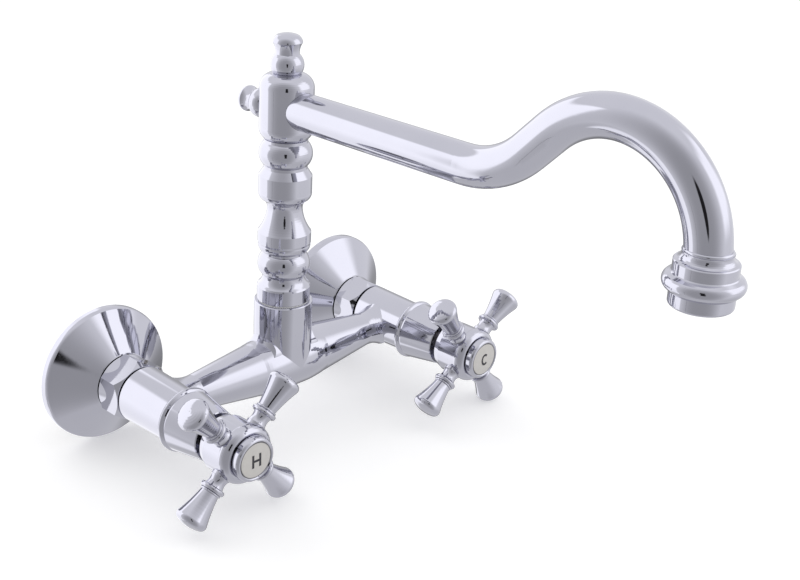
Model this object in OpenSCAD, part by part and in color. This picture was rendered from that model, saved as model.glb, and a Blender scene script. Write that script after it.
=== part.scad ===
// Wall-mounted two-handle mixer tap with a turned column and a swivel spout.
// Millimetres, +Z up. The wall's face is the plane y = 0 and the tap stands out towards -Y.
// The origin lies on the wall, halfway between the two inlets. Hot is at -X, cold at +X.

/* [Wall unions and roses] */
// Distance between the two wall inlets
inlet_spacing = 150; // [144:1:160]
// Height of the valve axes above the wall inlets, made up by the eccentric unions
union_rise = 8; // [5:0.5:10]
// Outside diameter of the half inch pipe threads
pipe_thread_d = 20.96; // [20:0.02:22]
// Length of the thread that screws into the wall
wall_thread_len = 18; // [12:1:24]
// Bore of the wall thread
wall_bore_d = 14; // [12:0.5:15]
// Bore of the union's front end
front_bore_d = 12.4; // [10:0.2:13]
// Diameter of the rose where it meets the wall
rose_d = 66; // [60:0.5:72]
// Depth of the rose from the wall to its front
rose_depth = 17.6; // [16:0.2:20]
// Diameter of the rose's front edge
rose_front_d = 29.5; // [28:0.5:32]
// Height of the rose's rounded lip
rose_lip_h = 4.8; // [2.5:0.1:5.5]
// Thickness of the rose's sheet brass
rose_wall = 1.3; // [1:0.1:1.6]
// Distance across the flats of the union nut
nut_af = 27; // [26:0.5:30]
// Length of the union nut
nut_h = 13.2; // [12:0.1:16]

/* [Mixer body] */
// Diameter of each valve barrel at its back
barrel_back_d = 27; // [26:0.5:30]
// Diameter of each valve barrel at its front
barrel_front_d = 25.6; // [25:0.2:28]
// Length of each valve barrel
barrel_len = 31.5; // [30:0.5:36]
// Distance of the crossbar's axis in front of the back of the barrels
bar_set = 12.5; // [11:0.5:14]
// Distance of the crossbar's axis below the valve axes
bar_drop = 1.3; // [0:0.1:2]
// Diameter of the crossbar where it meets the barrels
bar_end_d = 17.4; // [16:0.2:20]
// Diameter of the upright collar that holds the spout
collar_d = 28.4; // [27:0.2:32]
// Height of the collar's top above the valve axes
collar_h = 31.8; // [30:0.2:36]
// Bore of the waterway through the crossbar
bar_bore_d = 10; // [8:0.5:11]

/* [Valves] */
// Outside diameter of the valve cage below its thread
cage_d = 17.8; // [17:0.1:18.4]
// Diameter of the ceramic discs
disc_d = 14.6; // [14:0.1:15]
// Thickness of each ceramic disc
disc_h = 2.5; // [2:0.1:2.8]
// Diameter of the spindle
spindle_d = 8; // [7:0.1:8.4]
// Distance across the flats of the valve's hexagon
valve_af = 19; // [18:0.5:19.5]
// Diameter of the ring at the foot of the bell sleeve
sleeve_ring_d = 30.6; // [29:0.2:33]
// Diameter of the bell sleeve just in front of its ring
sleeve_back_d = 28.8; // [27.4:0.2:29.2]
// Diameter of the bell sleeve at its front
sleeve_front_d = 23.4; // [22:0.2:24.4]
// Length of the bell sleeve
sleeve_len = 22.2; // [21:0.2:26]

/* [Handles] */
// Angle of the first arm of the hot handle when it is closed
hot_rest_angle = 43; // [0:1:90]
// Angle of the first arm of the cold handle when it is closed
cold_rest_angle = 37; // [0:1:90]
// Diameter of the handle's hub
hub_d = 26; // [25:0.2:28]
// Diameter of the hub's front flange
flange_d = 27.5; // [27:0.1:30]
// Length of the hub
hub_len = 19.2; // [19:0.1:22]
// Distance of the arms' axes in front of the hub's back
arm_set = 11.6; // [11:0.1:13]
// Distance from the valve axis to the tip of each arm
arm_reach = 38.4; // [34:0.2:44]
// Widest diameter of each arm
arm_tip_d = 14.7; // [12:0.1:16]
// Diameter of the bead on each arm
arm_bead_d = 11.5; // [10.4:0.1:12.4]
// Diameter of the arm's neck
arm_neck_d = 7.8; // [7.2:0.1:8.4]
// Outside diameter of the ring round the index disc
bezel_d = 20.6; // [20:0.1:22]
// Diameter of the porcelain index disc
index_d = 16.8; // [15.6:0.1:17.2]

/* [Column] */
// Diameter of the column's plain foot
foot_d = 25.7; // [25:0.1:27]
// Height of the column's plain foot
foot_h = 7.8; // [6:0.1:10]
// Diameter of the necks between the column's turnings
neck_d = 20.6; // [19:0.1:22]
// Diameter of the two beads
bead_d = 25.3; // [24:0.1:27]
// Height of each bead
bead_h = 11.2; // [10:0.1:13]
// Diameter of the vase's belly
vase_d = 25.5; // [24:0.1:27]
// Diameter of the vase's waist
waist_d = 16.9; // [16:0.1:19]
// Height of the vase from its foot to its waist
vase_h = 21; // [19:0.1:24]
// Diameter of the cup above the waist
cup_d = 25.3; // [24:0.1:27]
// Height of the cup's straight side
cup_h = 7.9; // [6:0.1:10]
// Diameter of the plug that turns in the collar
swivel_d = 19; // [18:0.1:20]

/* [Spout] */
// Diameter of the head that carries the spout
head_d = 25.4; // [25:0.1:27]
// Height of the head
head_h = 30.6; // [29:0.2:34]
// Height of the spout's axis above the bottom of the head
spout_rise = 14.8; // [14:0.1:16]
// Outside diameter of the spout's tube
tube_d = 17.5; // [16:0.1:18]
// Wall of the spout's tube
tube_wall = 1.2; // [1:0.1:1.6]
// Length of the level run, from the column's axis to the first bend
level_run = 108; // [90:1:130]
// Radius of the upward bend
rise_bend_r = 45; // [40:1:60]
// Angle that the upward bend turns through
rise_angle = 45; // [35:1:50]
// Length of the straight between the two bends
climb_run = 14; // [8:0.5:20]
// Radius of the arch
arch_r = 42.5; // [38:0.5:50]
// Largest diameter of the top finial
finial_d = 15.5; // [13:0.1:16]
// Largest diameter of the rear finial
rear_finial_d = 13.8; // [12:0.1:14.5]
// Height of the top finial
finial_h = 18.2; // [17:0.1:20]
// Length of the rear finial
rear_finial_h = 16.8; // [15:0.1:19]
// Diameter of the spout's end collar
ferrule_d = 24.1; // [24:0.1:26]
// Diameter of the bead round the spout's end
outlet_bead_d = 30.4; // [29:0.1:33]
// Outside diameter of the aerator's shell
aerator_d = 24.2; // [23.6:0.1:24.6]
// Height of the aerator's shell that shows
aerator_h = 5.5; // [3.6:0.1:7]

/* [Hidden] */
$fn = 96;

hot = -1;
cold = 1;

// Clearances and small edges
fit = 0.05;
seam = 0.3;
loose = 0.5;
edge = 0.8;
fine_edge = 0.4;
cut = 1;

// Stations along a valve axis, as distances from the wall
union_stand_off = 2;
union_body_h = 7;
union_body_end = union_stand_off + union_body_h;
nut_gap = 1.1;
nut_back = rose_depth + nut_gap;
nut_front = nut_back + nut_h;
barrel_gap = 0.6;
barrel_back = nut_front + barrel_gap;
barrel_front = barrel_back + barrel_len;
column_out = barrel_back + bar_set;
sleeve_front = barrel_front + sleeve_len;
hub_gap = 3.4;
hub_back = sleeve_front + hub_gap;
hub_front = hub_back + hub_len;

// Union: collar that carries the rose, front thread, washer and the body's tail
union_collar_step = 1.8;
union_collar_d = pipe_thread_d + 2 * union_collar_step;
union_shoulder = 1.6;
tail_step = 1.2;
tail_flange_d = pipe_thread_d - 2 * tail_step;
tail_flange_h = 2;
tail_neck_d = tail_flange_d - 2 * union_shoulder;
washer_h = 2;
nut_lip_h = 1.15;
nut_flange_d = 29;
nut_flange_h = 6.4;
nut_chamfer_h = 2.6;
tail_flange_front = nut_front - nut_lip_h - fit;
tail_flange_back = tail_flange_front - tail_flange_h;
union_front = tail_flange_back - washer_h;
rose_face_h = 1.8;
rose_lip_step = 0.7;

// Valve: seat, cage, thread, flange, hexagon and neck
seat_depth = 6;
valve_seat = barrel_back + seat_depth;
seat_seal_h = 1.8;
cage_back = valve_seat + seat_seal_h;
valve_thread_len = 11.5;
chamber_front = barrel_front - valve_thread_len;
chamber_wall = 2.2;
chamber_d = barrel_front_d - 2 * chamber_wall;
valve_flange_d = pipe_thread_d + 2 * edge;
valve_flange_h = 2;
valve_hex_h = 7;
valve_neck_d = 13.2;
driver_back = cage_back + 2 * disc_h + 3 * fit;
driver_h = 3;
spindle_collar_h = 3;
spindle_collar_front = driver_back + 2 * driver_h + spindle_collar_h;
window_w = 8;
spline_len = 8.8;
spindle_front = hub_back + spline_len;
spline_count = 20;
spline_depth = 0.35;
o_ring_r = 0.52;
spindle_o_ring_in = 1.6;
spindle_o_ring_at = barrel_front - spindle_o_ring_in;
circlip_h = 0.8;
circlip_d = 11;
circlip_gap = 2.7;
port_in_share = 0.125;
port_span_share = 0.25;
port_angle = 80;
port_starts = [50, 230];
sleeve_wall = 2.1;
sleeve_lip_h = 2;
sleeve_ring_h = 2.9;
sleeve_bead = 0.8;
sleeve_step_h = 1.1;

// Handle: web under the screw, pocket under the index disc, studs and bosses of the arms
screw_d = 4;
screw_len = 9;
screw_head_d = 7.4;
screw_head_h = 2.6;
hub_web_h = 4.2;
pocket_floor = spindle_front + hub_web_h;
pocket_d = 17.6;
flange_h = 5;
bezel_stand = 4.2;
bezel_skirt_h = 3.6;
index_h = 2.6;
arm_axis = hub_back + arm_set;
arm_stud_d = 5.8;
arm_stud_in = 3.4;
arm_boss_d = 9;
arm_start = flange_d / 2 + 2 * fit;
arm_bead_at = 19.5;
arm_bead_h = 2.2;
arm_ring_d = 9.8;
arm_ring_h = 1;
arm_cone_d = 8.6;
arm_tip_round = 2.4;
arm_tip_lean = 15;
arm_face_lean = 22;
arm_bead_round = 0.7;
arm_hollow = 0.3;
hub_chamfer = 1.1;
hub_chamfer_h = 3.2;
flange_round = 0.85;
index_seat_w = 1.6;
bezel_groove_w = 0.5;
bezel_groove_depth = 0.9;
bezel_round_h = 1.6;
screw_slot_w = 1;

// Column: heights of the turnings above the valve axes
slide_ring_h = 0.35;
column_foot = collar_h + slide_ring_h + fit;
foot_taper_h = 4.2;
lower_land_h = 0.8;
upper_land_h = 1.4;
vase_foot_share = 0.2;
vase_belly_share = 0.46;
vase_hollow = 0.8;
vase_swell = 0.8;
cup_swell = 0.8;
waist_flare_h = 4.6;
waist_flare_d = neck_d - 2 * fine_edge;
cup_round_h = 4.4;
cup_chamfer_h = 3.5;
lower_bead = column_foot + foot_h + foot_taper_h + lower_land_h;
vase_foot = lower_bead + bead_h + lower_land_h;
vase_waist = vase_foot + vase_h;
cup_bottom = vase_waist + waist_flare_h;
cup_side = cup_bottom + cup_round_h;
cup_top = cup_side + cup_h;
upper_bead = cup_top + cup_chamfer_h + upper_land_h;
head_bottom = upper_bead + bead_h + upper_land_h;
column_bore_d = 12.6;
column_stud_d = 16.4;
column_stud_h = 6;

// Swivel plug: two seals and the groove that the grub screw holds
socket_floor = 9.5;
seal_r = 0.75;
seal_groove_h = 2.6;
plug_bottom = socket_floor + loose;
lower_seal_rise = 5.2;
upper_seal_drop = 3.8;
lower_seal = plug_bottom + lower_seal_rise;
upper_seal = column_foot - upper_seal_drop;
grub_at = (lower_seal + upper_seal) / 2;
grub_d = 4;
grub_socket_af = 2;
keeper_groove_h = grub_d + loose;
keeper_groove_depth = 1.6;
keeper_groove_d = swivel_d - 2 * keeper_groove_depth;

// Head and spout, as heights above the valve axes and distances from the column's axis
head_round_h = 6;
head_shoulder_h = 7;
head_foot_d = 20.8;
head_crown_d = 13;
head_swell = 0.8;
crown_swell = 1.9;
head_top = head_bottom + head_h;
spout_z = head_bottom + spout_rise;
boss_d = 12;
boss_out = 0.4;
finial_seat = head_d / 2 + boss_out;
rear_drop = 1.7;
finial_stud_d = 6;
finial_stud_h = 5;
finial_foot_share = 0.88;
finial_neck_share = 0.71;
finial_cap_share = 0.89;
finial_crown_share = 0.63;
finial_neck_h_share = 0.48;
finial_cap_h_share = 0.77;
finial_crown_h_share = 0.945;
finial_bulb = 1.5;
tube_start = 5.2;
rise_end = [level_run + rise_bend_r * sin(rise_angle), spout_z + rise_bend_r * (1 - cos(rise_angle))];
climb_end = rise_end + climb_run * [cos(rise_angle), sin(rise_angle)];
arch_centre = climb_end + arch_r * [sin(rise_angle), -cos(rise_angle)];
reach = arch_centre[0] + arch_r;
tube_drop = 3;
tube_end = arch_centre[1] - tube_drop;

// Spout end, as heights above the valve axes
ferrule_rise = 3.8;
ferrule_top = arch_centre[1] + ferrule_rise;
ferrule_flare_h = 3.6;
ferrule_side_h = 4.9;
outlet_bead_h = 6.5;
outlet_bead_round = 1.2;
outlet_bead_foot = 2.1;
ferrule_flare = 1;
braze_gap = 0.25;
bead_top = ferrule_top - ferrule_flare_h - ferrule_side_h;
ferrule_bottom = bead_top - outlet_bead_h;
aerator_thread_d = 22;
aerator_thread_h = 5.6;
aerator_bottom = ferrule_bottom - seam - aerator_h;
aerator_top = ferrule_bottom + aerator_thread_h;
aerator_bore_d = 19.6;
aerator_lip_d = 17;
aerator_lip_h = 0.9;
aerator_washer_h = 1.5;
washer_overlap = 1.4;
aerator_round = 1.2;
insert_skirt = 1.2;
screen_rim = 1.4;
insert_ring_share = 0.17;
screen_h = 0.8;
screen_bar = 0.7;
screen_pitch = 2.4;
insert_h = 7;
insert_hole_d = 1.4;

// Outline of a knob's end, widest radius r, that reaches up to top: an edge of radius e that
// starts as a slope of so many degrees to the axis, then a flatter face that meets the axis squarely
function crown(r, top, e, slope, face) =
    let (
        rim = r - e + e * sin(face),
        centre = [r - e, top - rim * tan(face / 2) - e * cos(face)],
        ball = rim / sin(face),
        turn = 90 - face + slope
    )
    concat(
        [for (i = [0:9]) let (a = turn * i / 9 - slope) centre + e * [cos(a), sin(a)]],
        [for (i = [1:5]) let (a = face * (1 - i / 5)) [ball * sin(a), top - ball * (1 - cos(a))]]
    );

// Points of an arc from p to q that stands out by b, on the right of the way from p to q.
// It is drawn in n steps, and skip = 1 leaves out p where the last piece of the outline ends there.
function bow(p, q, b, n = 8, skip = 0) =
    let (
        l = norm(q - p),
        u = (q - p) / l,
        m = [u[1], -u[0]],
        s = sign(b),
        r = (l * l / 4 + b * b) / (2 * abs(b)),
        h = asin(min(1, l / 2 / r))
    )
    [for (i = [skip:n])
        let (t = h * (2 * i / n - 1))
        (p + q) / 2 + m * (b - s * r) + s * m * r * cos(t) + u * r * sin(t)];

// A round piece from an outline of [radius, height] points
module turned(points) {
    rotate_extrude() polygon(points);
}

// A round ring between two radii
module ring(outer, inner, low, high) {
    turned([[inner, low], [outer, low], [outer, high], [inner, high]]);
}

// A plain round bar between two heights
module bar(r, low, high) {
    translate([0, 0, low]) cylinder(r = r, h = high - low);
}

// A six-sided bar with rounded-off corners at both ends
module chamfered_hex(af, low, high) {
    corner = af / sqrt(3);
    face = af / 2;
    intersection() {
        translate([0, 0, low]) cylinder(r = corner, h = high - low, $fn = 6);
        turned([
            [0, low], [face, low], [corner - fine_edge, low + edge],
            [corner - fine_edge, high - edge], [face, high], [0, high]
        ]);
    }
}

// Turns a piece so that its height runs out of the wall, on the valve axis of one side
module at_valve(side) {
    translate([side * inlet_spacing / 2, 0, union_rise]) rotate([90, 0, 0]) children();
}

// Puts a piece on the column's axis, with heights above the valve axes
module at_column() {
    translate([0, -column_out, union_rise]) children();
}

// Puts a piece on the axis of the spout's end
module at_outlet() {
    translate([0, -column_out - reach, union_rise]) children();
}

// Wall side

module rose(side) {
    r = rose_d / 2;
    hole_r = union_collar_d / 2 + fit;
    lip = [r - rose_lip_step, rose_lip_h];
    front = [rose_front_d / 2, rose_depth - fine_edge];
    way = (front - lip) / norm(front - lip);
    inward = rose_wall * [-way[1], way[0]];
    inner_lip = lip + inward;
    inner_front = front + inward;
    back_face = rose_depth - rose_face_h;
    share = (back_face - inner_lip[1]) / (inner_front[1] - inner_lip[1]);
    color("gainsboro") at_valve(side) turned(concat(
        [[r - rose_wall, 0], [r - fine_edge, 0], [r, fine_edge]],
        bow([r, rose_lip_h / 2], lip, fine_edge / 2),
        [front, [rose_front_d / 2 - fine_edge, rose_depth]],
        [[hole_r, rose_depth], [hole_r, back_face]],
        [inner_lip + share * (inner_front - inner_lip), inner_lip],
        [[r - rose_wall, inner_lip[1] - fine_edge]]
    ));
}

// Eccentric half of a union: the wall thread and the disc that shifts the waterway upwards
module pipe_union(side) {
    thread_r = pipe_thread_d / 2;
    body_r = thread_r + union_rise / 2 + union_shoulder;
    color("darkkhaki") difference() {
        union() {
            translate([side * inlet_spacing / 2, 0, 0]) rotate([90, 0, 0]) turned([
                [0, -wall_thread_len], [thread_r - edge, -wall_thread_len],
                [thread_r, -wall_thread_len + edge], [thread_r, union_stand_off + edge],
                [0, union_stand_off + edge]
            ]);
            translate([side * inlet_spacing / 2, 0, union_rise / 2]) rotate([90, 0, 0])
                bar(body_r, union_stand_off, union_body_end);
        }
        translate([side * inlet_spacing / 2, 0, 0]) rotate([90, 0, 0])
            bar(wall_bore_d / 2, -wall_thread_len - cut, union_body_end - edge);
        at_valve(side) bar(front_bore_d / 2, union_stand_off + union_shoulder, union_body_end + cut);
    }
}

// Front half of a union: the collar that carries the rose and the thread for the nut
module union_nipple(side) {
    thread_r = pipe_thread_d / 2;
    collar_r = union_collar_d / 2;
    color("darkkhaki") at_valve(side) difference() {
        turned([
            [0, union_body_end], [collar_r, union_body_end],
            [collar_r, rose_depth], [thread_r, rose_depth],
            [thread_r, union_front - edge], [thread_r - edge, union_front], [0, union_front]
        ]);
        bar(front_bore_d / 2, union_body_end - cut, union_front + cut);
    }
}

module union_nut(side) {
    corner = nut_af / sqrt(3);
    face = nut_af / 2;
    flange_r = nut_flange_d / 2;
    color("gainsboro") at_valve(side) difference() {
        union() {
            intersection() {
                rotate([0, 0, 30]) translate([0, 0, nut_back])
                    cylinder(r = corner, h = nut_h, $fn = 6);
                turned([
                    [0, nut_back], [flange_r, nut_back], [corner, nut_back + edge],
                    [corner, nut_front - nut_chamfer_h], [face, nut_front], [0, nut_front]
                ]);
            }
            turned([
                [0, nut_back], [flange_r, nut_back], [face - fine_edge, nut_back + nut_flange_h],
                [0, nut_back + nut_flange_h]
            ]);
        }
        bar(pipe_thread_d / 2 + fit, nut_back - cut, nut_front - nut_lip_h);
        bar(tail_neck_d / 2 + 2 * fit, nut_back, nut_front + cut);
    }
}

module union_washer(side) {
    color("dimgray") at_valve(side)
        ring(tail_flange_d / 2, front_bore_d / 2, union_front, tail_flange_back);
}

// Mixer body

// Flanged tail, pressed into the barrel's back, that holds the union nut captive
module tail(side) {
    color("gainsboro") at_valve(side) difference() {
        turned([
            [0, tail_flange_back], [tail_flange_d / 2, tail_flange_back],
            [tail_flange_d / 2, tail_flange_front], [tail_neck_d / 2, tail_flange_front],
            [tail_neck_d / 2, valve_seat], [0, valve_seat]
        ]);
        bar(front_bore_d / 2, tail_flange_back - cut, valve_seat + cut);
    }
}

// Outer shape of a barrel
module barrel_solid() {
    back_r = barrel_back_d / 2;
    front_r = barrel_front_d / 2;
    turned([
        [0, barrel_back], [back_r - edge, barrel_back], [back_r, barrel_back + edge],
        [front_r, barrel_front - fine_edge], [front_r - fine_edge, barrel_front], [0, barrel_front]
    ]);
}

// Waterway from one valve chamber to the other, through the crossbar
module crossbar_bore() {
    translate([0, 0, -bar_drop]) at_column() rotate([0, 90, 0])
        cylinder(r = bar_bore_d / 2, h = inlet_spacing - pipe_thread_d, center = true);
}

// Barrel that holds one valve, brazed to the crossbar's end
module barrel(side) {
    thread_r = pipe_thread_d / 2 + fit;
    color("gainsboro") difference() {
        at_valve(side) barrel_solid();
        at_valve(side) bar(tail_neck_d / 2 + fit, barrel_back - cut, valve_seat + cut);
        at_valve(side) bar(chamber_d / 2, valve_seat, chamber_front);
        at_valve(side) bar(thread_r, valve_seat + cut, barrel_front + cut);
        crossbar_bore();
    }
}

// One half of the crossbar, a bar that thins out from the collar and swells again at the barrel
module half_crossbar() {
    half = inlet_spacing / 2;
    flat_share = 0.08;
    shoulder_share = 0.27;
    thin_share = 0.73;
    swell_share = 0.88;
    shoulder_d_share = 0.91;
    bar_swell = 0.4;
    bar_hollow = 0.8;
    swell_r = barrel_front_d / 2 - bar_drop - fine_edge;
    collar_r = collar_d / 2;
    shoulder = [collar_r * shoulder_d_share, half * shoulder_share];
    thin = [bar_end_d / 2, half * thin_share];
    rotate([0, 90, 0]) turned(concat(
        [[0, 0], [collar_r, 0]],
        bow([collar_r, half * flat_share], shoulder, bar_swell),
        bow(thin, [swell_r, half * swell_share], -bar_hollow),
        [[swell_r, half], [0, half]]
    ));
}

// Rounded web between the crossbar and the collar, only as wide as the bar
module collar_web() {
    low_share = 0.56;
    high_share = 1.26;
    core_share = 0.78;
    core_rise_share = 0.35;
    web_out = 3.6;
    web_hollow = 1.1;
    r = collar_d / 2;
    low = r * low_share;
    high = r * high_share;
    intersection() {
        turned(concat(
            [[0, low]],
            bow([r + web_out, low], [r, high], -web_hollow),
            [[0, high]]
        ));
        translate([0, 0, r * core_rise_share]) rotate([0, 90, 0])
            cylinder(r = r * core_share, h = 2 * collar_d, center = true);
    }
}

// Crossbar with the collar that the column turns in
module mixer_body() {
    socket_r = swivel_d / 2 + fit;
    color("gainsboro") difference() {
        union() {
            translate([0, 0, -bar_drop]) at_column() {
                half_crossbar();
                mirror([1, 0, 0]) half_crossbar();
            }
            at_column() turned([
                [0, -bar_drop], [collar_d / 2, -bar_drop], [collar_d / 2, collar_h - fine_edge],
                [collar_d / 2 - fine_edge, collar_h], [0, collar_h]
            ]);
            at_column() collar_web();
        }
        for (side = [hot, cold]) at_valve(side) barrel_solid();
        crossbar_bore();
        at_column() {
            bar(column_bore_d / 2, -bar_drop, socket_floor + cut);
            bar(socket_r, socket_floor, collar_h + cut);
            translate([0, 0, grub_at]) rotate([-90, 0, 0])
                bar(grub_d / 2 + fit, 0, collar_d / 2 + cut);
        }
    }
}

// Valves

module seat_seal(side) {
    color("dimgray") at_valve(side)
        ring(cage_d / 2 - fine_edge, front_bore_d / 2 + fine_edge, valve_seat, cage_back);
}

module valve_body(side) {
    thread_r = pipe_thread_d / 2;
    neck_r = valve_neck_d / 2;
    color("darkkhaki") at_valve(side) difference() {
        union() {
            bar(cage_d / 2, cage_back, chamber_front + edge);
            bar(thread_r, chamber_front + edge, barrel_front);
            bar(valve_flange_d / 2, barrel_front, barrel_front + valve_flange_h);
            chamfered_hex(
                valve_af, barrel_front + valve_flange_h, barrel_front + valve_flange_h + valve_hex_h
            );
            bar(neck_r, barrel_front, sleeve_front);
        }
        bar(disc_d / 2 + 2 * fit, cage_back - cut, spindle_collar_front + fit);
        bar(spindle_d / 2 + fit, cage_back, sleeve_front + cut);
        translate([0, 0, driver_back + driver_h])
            cube([window_w, cage_d + cut, 2 * driver_h], center = true);
    }
}

// A quarter of a ring, for the openings in the ceramic discs
module disc_port(angle, low, high) {
    rotate([0, 0, angle]) rotate_extrude(angle = port_angle)
        translate([disc_d * port_in_share, low]) square([disc_d * port_span_share, high - low]);
}

module fixed_disc(side) {
    low = cage_back + fit;
    color("white") at_valve(side) difference() {
        bar(disc_d / 2, low, low + disc_h);
        for (angle = port_starts) disc_port(angle, low - cut, low + disc_h + cut);
    }
}

module turning_disc(side) {
    low = cage_back + disc_h + 2 * fit;
    color("white") at_valve(side) difference() {
        bar(disc_d / 2, low, low + disc_h);
        for (angle = port_starts) disc_port(angle + side * 90, low - cut, low + disc_h + cut);
    }
}

// Outline of the toothed end of a spindle
module spline_outline() {
    r = spindle_d / 2 - fit;
    polygon([for (i = [0:2 * spline_count - 1])
        (r - (i % 2) * spline_depth) * [cos(180 * i / spline_count), sin(180 * i / spline_count)]]);
}

module spindle(side) {
    r = spindle_d / 2;
    groove_r = r - 2 * o_ring_r - fit;
    color("darkkhaki") at_valve(side) difference() {
        union() {
            intersection() {
                bar(disc_d / 2 - fine_edge, driver_back, driver_back + 2 * driver_h);
                translate([0, 0, driver_back + driver_h])
                    cube([disc_d, window_w - 2 * fine_edge, 2 * driver_h], center = true);
            }
            bar(disc_d / 2, spindle_collar_front - spindle_collar_h, spindle_collar_front);
            bar(r, driver_back, hub_back);
            translate([0, 0, hub_back]) linear_extrude(spindle_front - hub_back) spline_outline();
        }
        ring(r + cut, groove_r, spindle_o_ring_at - o_ring_r - fit, spindle_o_ring_at + o_ring_r + fit);
        ring(r + cut, r - fine_edge, sleeve_front + fit, sleeve_front + circlip_h + 3 * fit);
        bar(screw_d / 2 + fit, spindle_front - screw_len, spindle_front + cut);
    }
}

module spindle_o_ring(side) {
    color("dimgray") at_valve(side) translate([0, 0, spindle_o_ring_at])
        rotate_extrude() translate([spindle_d / 2 - o_ring_r, 0]) circle(r = o_ring_r, $fn = 24);
}

module circlip(side) {
    low = sleeve_front + 2 * fit;
    color("silver") at_valve(side) difference() {
        ring(circlip_d / 2, spindle_d / 2 - fine_edge + fit, low, low + circlip_h);
        translate([0, circlip_d / 2, low + circlip_h / 2])
            cube([circlip_gap, circlip_d, circlip_h + cut], center = true);
    }
}

module sleeve(side) {
    ring_r = sleeve_ring_d / 2;
    back_r = sleeve_back_d / 2;
    front_r = sleeve_front_d / 2;
    ring_end = barrel_front + sleeve_ring_h;
    body_start = ring_end + sleeve_step_h;
    inner_back_r = valve_flange_d / 2 + seam;
    inner_front_r = front_r - sleeve_wall / 2;
    bead_r = ring_r - sleeve_bead;
    color("gainsboro") at_valve(side) turned(concat(
        [[inner_back_r, barrel_front + fit]],
        bow([bead_r, barrel_front + fit], [bead_r, ring_end - fine_edge], sleeve_bead),
        [[back_r - fine_edge, ring_end + fit], [back_r - fine_edge, body_start - fine_edge]],
        [[back_r, body_start], [front_r, sleeve_front - fine_edge], [front_r - fine_edge, sleeve_front]],
        [[valve_neck_d / 2 + fit, sleeve_front], [valve_neck_d / 2 + fit, sleeve_front - sleeve_lip_h]],
        [[inner_front_r, sleeve_front - sleeve_lip_h]],
        [[inner_back_r, barrel_front + valve_flange_h + valve_hex_h]]
    ));
}

// Handles

module at_arm(rest_angle, count) {
    rotate([0, 0, rest_angle + 90 * count]) translate([0, 0, arm_axis]) rotate([0, 90, 0])
        children();
}

module hub(side, rest_angle) {
    r = hub_d / 2;
    flange_r = flange_d / 2;
    flange_back = hub_front - flange_h;
    groove_r = bezel_d / 2 + bezel_groove_w;
    face_r = groove_r + fine_edge;
    stud_end = arm_start - arm_boss_d / 2 - fine_edge;
    color("gainsboro") at_valve(side) difference() {
        union() {
            turned(concat(
                [[0, hub_back], [r - hub_chamfer, hub_back], [r, hub_back + hub_chamfer_h]],
                [[r, flange_back - fine_edge], [flange_r - fine_edge / 2, flange_back]],
                bow([flange_r, flange_back + fine_edge], [face_r, hub_front], flange_round),
                [[0, hub_front]]
            ));
            for (i = [0:3]) at_arm(rest_angle, i) bar(arm_boss_d / 2, r / 2, arm_start - fit);
        }
        bar(spindle_d / 2 + fit, hub_back - cut, spindle_front + fit);
        bar(screw_d / 2 + 2 * fit, hub_back, pocket_floor + cut);
        bar(pocket_d / 2, pocket_floor, hub_front + cut);
        bar(groove_r, hub_front - bezel_groove_depth, hub_front + cut);
        for (i = [0:3]) at_arm(rest_angle, i) bar(arm_stud_d / 2 + fit, stud_end, flange_r + cut);
    }
}

module arms(side, rest_angle) {
    neck_r = arm_neck_d / 2;
    bead_r = arm_bead_d / 2 - arm_bead_round;
    ring_r = arm_ring_d / 2 - fine_edge;
    cone_r = arm_cone_d / 2;
    tip_r = arm_tip_d / 2;
    bead_low = arm_bead_at - arm_bead_h / 2;
    bead_high = arm_bead_at + arm_bead_h / 2;
    ring_high = bead_high + arm_ring_h;
    end = crown(tip_r, arm_reach, arm_tip_round, arm_tip_lean, arm_face_lean);
    color("gainsboro") at_valve(side) for (i = [0:3]) at_arm(rest_angle, i) turned(concat(
        [[0, arm_start - arm_stud_in], [arm_stud_d / 2, arm_start - arm_stud_in]],
        [[arm_stud_d / 2, arm_start], [neck_r + fine_edge, arm_start]],
        bow([neck_r + fine_edge / 2, arm_start + fine_edge], [neck_r + fine_edge, bead_low], -fine_edge),
        bow([bead_r, bead_low], [bead_r, bead_high], arm_bead_round),
        bow([ring_r, bead_high + fit], [ring_r, ring_high], fine_edge, 6),
        bow([cone_r, ring_high], end[0], -arm_hollow),
        [for (i = [1:len(end) - 1]) end[i]]
    ));
}

module handle_screw(side) {
    color("silver") at_valve(side) difference() {
        union() {
            bar(screw_d / 2, spindle_front - screw_len + edge, pocket_floor);
            turned([
                [0, pocket_floor], [screw_head_d / 2, pocket_floor],
                [screw_head_d / 2, pocket_floor + screw_head_h - edge],
                [screw_head_d / 2 - edge, pocket_floor + screw_head_h],
                [0, pocket_floor + screw_head_h]
            ]);
        }
        translate([0, 0, pocket_floor + screw_head_h])
            cube([screw_head_d + cut, screw_slot_w, screw_head_h], center = true);
    }
}

module bezel(side) {
    r = bezel_d / 2;
    top = hub_front + bezel_stand;
    inner_r = index_d / 2 + fit;
    skirt_r = pocket_d / 2 - fit;
    low = hub_front - bezel_skirt_h;
    seat = top - index_h;
    foot = hub_front - bezel_groove_depth;
    color("gainsboro") at_valve(side) turned(concat(
        [[inner_r - index_seat_w, low], [skirt_r, low], [skirt_r, foot], [r, foot]],
        bow([r, top - bezel_round_h], [inner_r + fine_edge, top], fine_edge),
        [[inner_r, top - fine_edge], [inner_r, seat], [inner_r - index_seat_w, seat]]
    ));
}

module index_disc(side) {
    r = index_d / 2;
    top = hub_front + bezel_stand;
    color("ivory") at_valve(side) turned(concat(
        [[0, top - index_h], [r, top - index_h]],
        bow([r, top - fine_edge], [0, top + fine_edge / 2], fine_edge / 2)
    ));
}

// Swivel joint and column

module slide_ring() {
    color("white") at_column()
        ring(foot_d / 2 - fine_edge, swivel_d / 2 + 2 * fit, collar_h, collar_h + slide_ring_h);
}

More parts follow.
